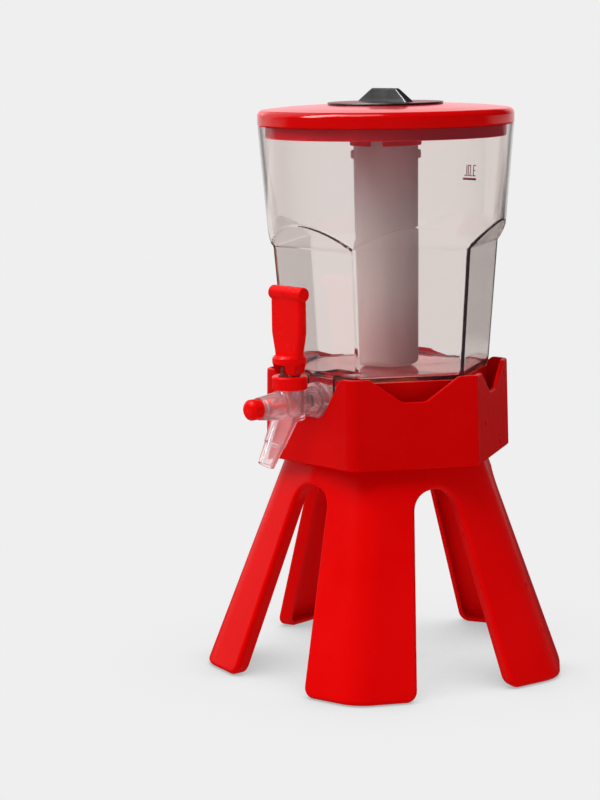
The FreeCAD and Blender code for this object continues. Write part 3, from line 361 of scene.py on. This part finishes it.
R = 14.0
floor = sheet_mesh("floor", [(-R, -R, -0.0006), (R, -R, -0.0006), (R, R, -0.0006), (-R, R, -0.0006)], [(0, 1, 2, 3)])
t = Tree("floor_pale")
nt = t.nt
# painted contact shadow: ambient occlusion darkens the floor's glow near the parts
ao = t.n("ShaderNodeAmbientOcclusion", samples=8)
ao.inputs["Distance"].default_value = 0.15
shade = smooth_step(nt, ao.outputs["AO"], 0.12, 0.99, 0.50, 1.0)
mottle = t.remap(t.noise(3.0, 3.0), 0.35, 0.65, 0.998, 1.002)
seen = combine(nt, "MULTIPLY", combine(nt, "MULTIPLY", shade, mottle), PALE)
past = dot_with(nt, t.where, BACK)
side = dot_with(nt, t.where, RIGHT)
far = t.n("ShaderNodeVectorMath", operation="LENGTH")
t.wire(t.where, far.inputs[0])
far = far.outputs["Value"]
# painted reflection: mirrored rays see the floor's glow dark, pale only far behind the object
mirror = smooth_step(nt, combine(nt, "SUBTRACT", past, smooth_step(nt, side, 0.1, 1.0, 0.0, 0.9)), 1.3, 2.2, 0.012, 0.75)
ratio = combine(nt, "DIVIDE", past, far)
wide = smooth_step(nt, ratio, 0.40, 0.80, 0.06, 1.0)
strict = smooth_step(nt, ratio, 0.925, 0.985, 0.03, 1.0)      # painted dark zone in the floor's glow, seen through the tank, draws its outline
pick = smooth_step(nt, combine(nt, "SUBTRACT", far, smooth_step(nt, side, 0.0, -0.25, 0.0, 2.0)), 1.40, 1.62, 0.0, 1.0)
open_side = smooth_step(nt, ratio, 0.935, 0.900, 0.0, 1.0)        # well off the axis the room is pale again
ahead_floor = combine(nt, "ADD", combine(nt, "MULTIPLY", strict, pick), combine(nt, "MULTIPLY", wide, combine(nt, "SUBTRACT", 1.0, pick)))
near_floor = smooth_step(nt, far, 0.70, 0.40, 0.0, 1.0)
enclosed = combine(nt, "MULTIPLY", seen, combine(nt, "MAXIMUM", ahead_floor, near_floor))
refracted = combine(nt, "MULTIPLY", seen, combine(nt, "MAXIMUM", open_side, combine(nt, "MAXIMUM", ahead_floor, near_floor)))
glow = t.n("ShaderNodeEmission")
t.wire(by_ray(nt, seen, refracted, enclosed, mirror, combine(nt, "MULTIPLY", shade, 0.92)), glow.inputs["Color"])
floor.data.materials.append(t.close(glow.outputs[0]))

world = bpy.data.worlds.new("studio")
bpy.context.scene.world = world
world.use_nodes = True
wn = world.node_tree
wn.nodes.clear()
way = wn.nodes.new("ShaderNodeTexCoord").outputs["Generated"]
ahead = dot_with(wn, way, BACK)
up = dot_with(wn, way, (0, 0, 1))
window = combine(wn, "MULTIPLY", smooth_step(wn, ahead, 0.74, 0.93, 0.0, 1.0), smooth_step(wn, up, 0.40, 0.28, 0.0, 1.0))
gloss = wn.nodes.new("ShaderNodeMix")
gloss.data_type = "RGBA"
gloss.inputs[6].default_value = (0.012, 0.010, 0.012, 1)
gloss.inputs[7].default_value = (1.24, 0.72, 0.76, 1)
wn.links.new(window, gloss.inputs[0])
gloss = gloss.outputs[2]
def room(open_way):
    m = wn.nodes.new("ShaderNodeMix")
    m.data_type = "RGBA"
    m.inputs[6].default_value = (0.055, 0.034, 0.060, 1)
    m.inputs[7].default_value = (PALE, PALE, PALE, 1)
    wn.links.new(combine(wn, "MULTIPLY", open_way, smooth_step(wn, up, 0.36, 0.14, 0.0, 1.0)), m.inputs[0])
    return m.outputs[2]


through = room(combine(wn, "MAXIMUM", smooth_step(wn, ahead, 0.62, 0.82, 0.0, 1.0), smooth_step(wn, ahead, 0.62, 0.50, 0.0, 1.0)))
inner = room(smooth_step(wn, ahead, 0.40, 0.80, 0.0, 1.0))
scatter = combine(wn, "ADD", smooth_step(wn, up, -0.1, 0.9, 0.06, 0.52), smooth_step(wn, ahead, 0.1, -1.0, 0.0, 0.08))
bg = wn.nodes.new("ShaderNodeBackground")
wn.links.new(by_ray(wn, PALE, through, inner, gloss, scatter), bg.inputs["Color"])
wo = wn.nodes.new("ShaderNodeOutputWorld")
wn.links.new(bg.outputs[0], wo.inputs[0])


def softbox(name, at, aim, size_x, size_y, power, colour=(1, 1, 1)):
    data = bpy.data.lights.new(name, "AREA")
    data.shape = "RECTANGLE"
    data.size, data.size_y = size_x, size_y
    data.energy = power
    data.color = colour
    ob = bpy.data.objects.new(name, data)
    bpy.context.scene.collection.objects.link(ob)
    ob.location = at
    ob.rotation_euler = (Vector(aim) - Vector(at)).to_track_quat("-Z", "Y").to_euler()
    return ob


def sun(name, az, el, angle, strength):
    data = bpy.data.lights.new(name, "SUN")
    data.angle = math.radians(angle)
    data.energy = strength
    ob = bpy.data.objects.new(name, data)
    bpy.context.scene.collection.objects.link(ob)
    a, e = math.radians(az), math.radians(el)
    frm = Vector((math.sin(a) * math.cos(e), -math.cos(a) * math.cos(e), math.sin(e)))
    ob.rotation_euler = (-frm).to_track_quat("-Z", "Y").to_euler()
    return ob


# the viewer's azimuth is 46 degrees from -Y toward +X
def around(az, r, z):
    a = math.radians(az)
    return (r * math.sin(a), -r * math.cos(a), z)


sun("key", -8, 64, 40, 2.2)
sun("left", -84, 28, 60, 0.56)
gleam = softbox("gleam", (-0.46, -0.94, 1.33), (-0.02, -0.06, 0.42), 0.42, 1.15, 30.0)
gleam.visible_diffuse = False
gleam.visible_transmission = False
gleam.visible_camera = False

# ------------------------------------------------------------------ camera
cam = bpy.data.cameras.new("view")
cam.sensor_fit = "AUTO"
cam.sensor_width = 36.0
cam.lens = 103.6886
cam.clip_start, cam.clip_end = 0.05, 60
eye = bpy.data.objects.new("view", cam)
bpy.context.scene.collection.objects.link(eye)
eye.location = (1.264957, -1.209166, 0.484110)
eye.rotation_euler = (1.4115482, 0.0147024, 0.8442293)
bpy.context.scene.camera = eye

sc = bpy.context.scene
sc.view_settings.view_transform = "Standard"
sc.view_settings.look = "None"
sc.cycles.transparent_max_bounces = 24
sc.cycles.max_bounces = 16
sc.cycles.transmission_bounces = 14
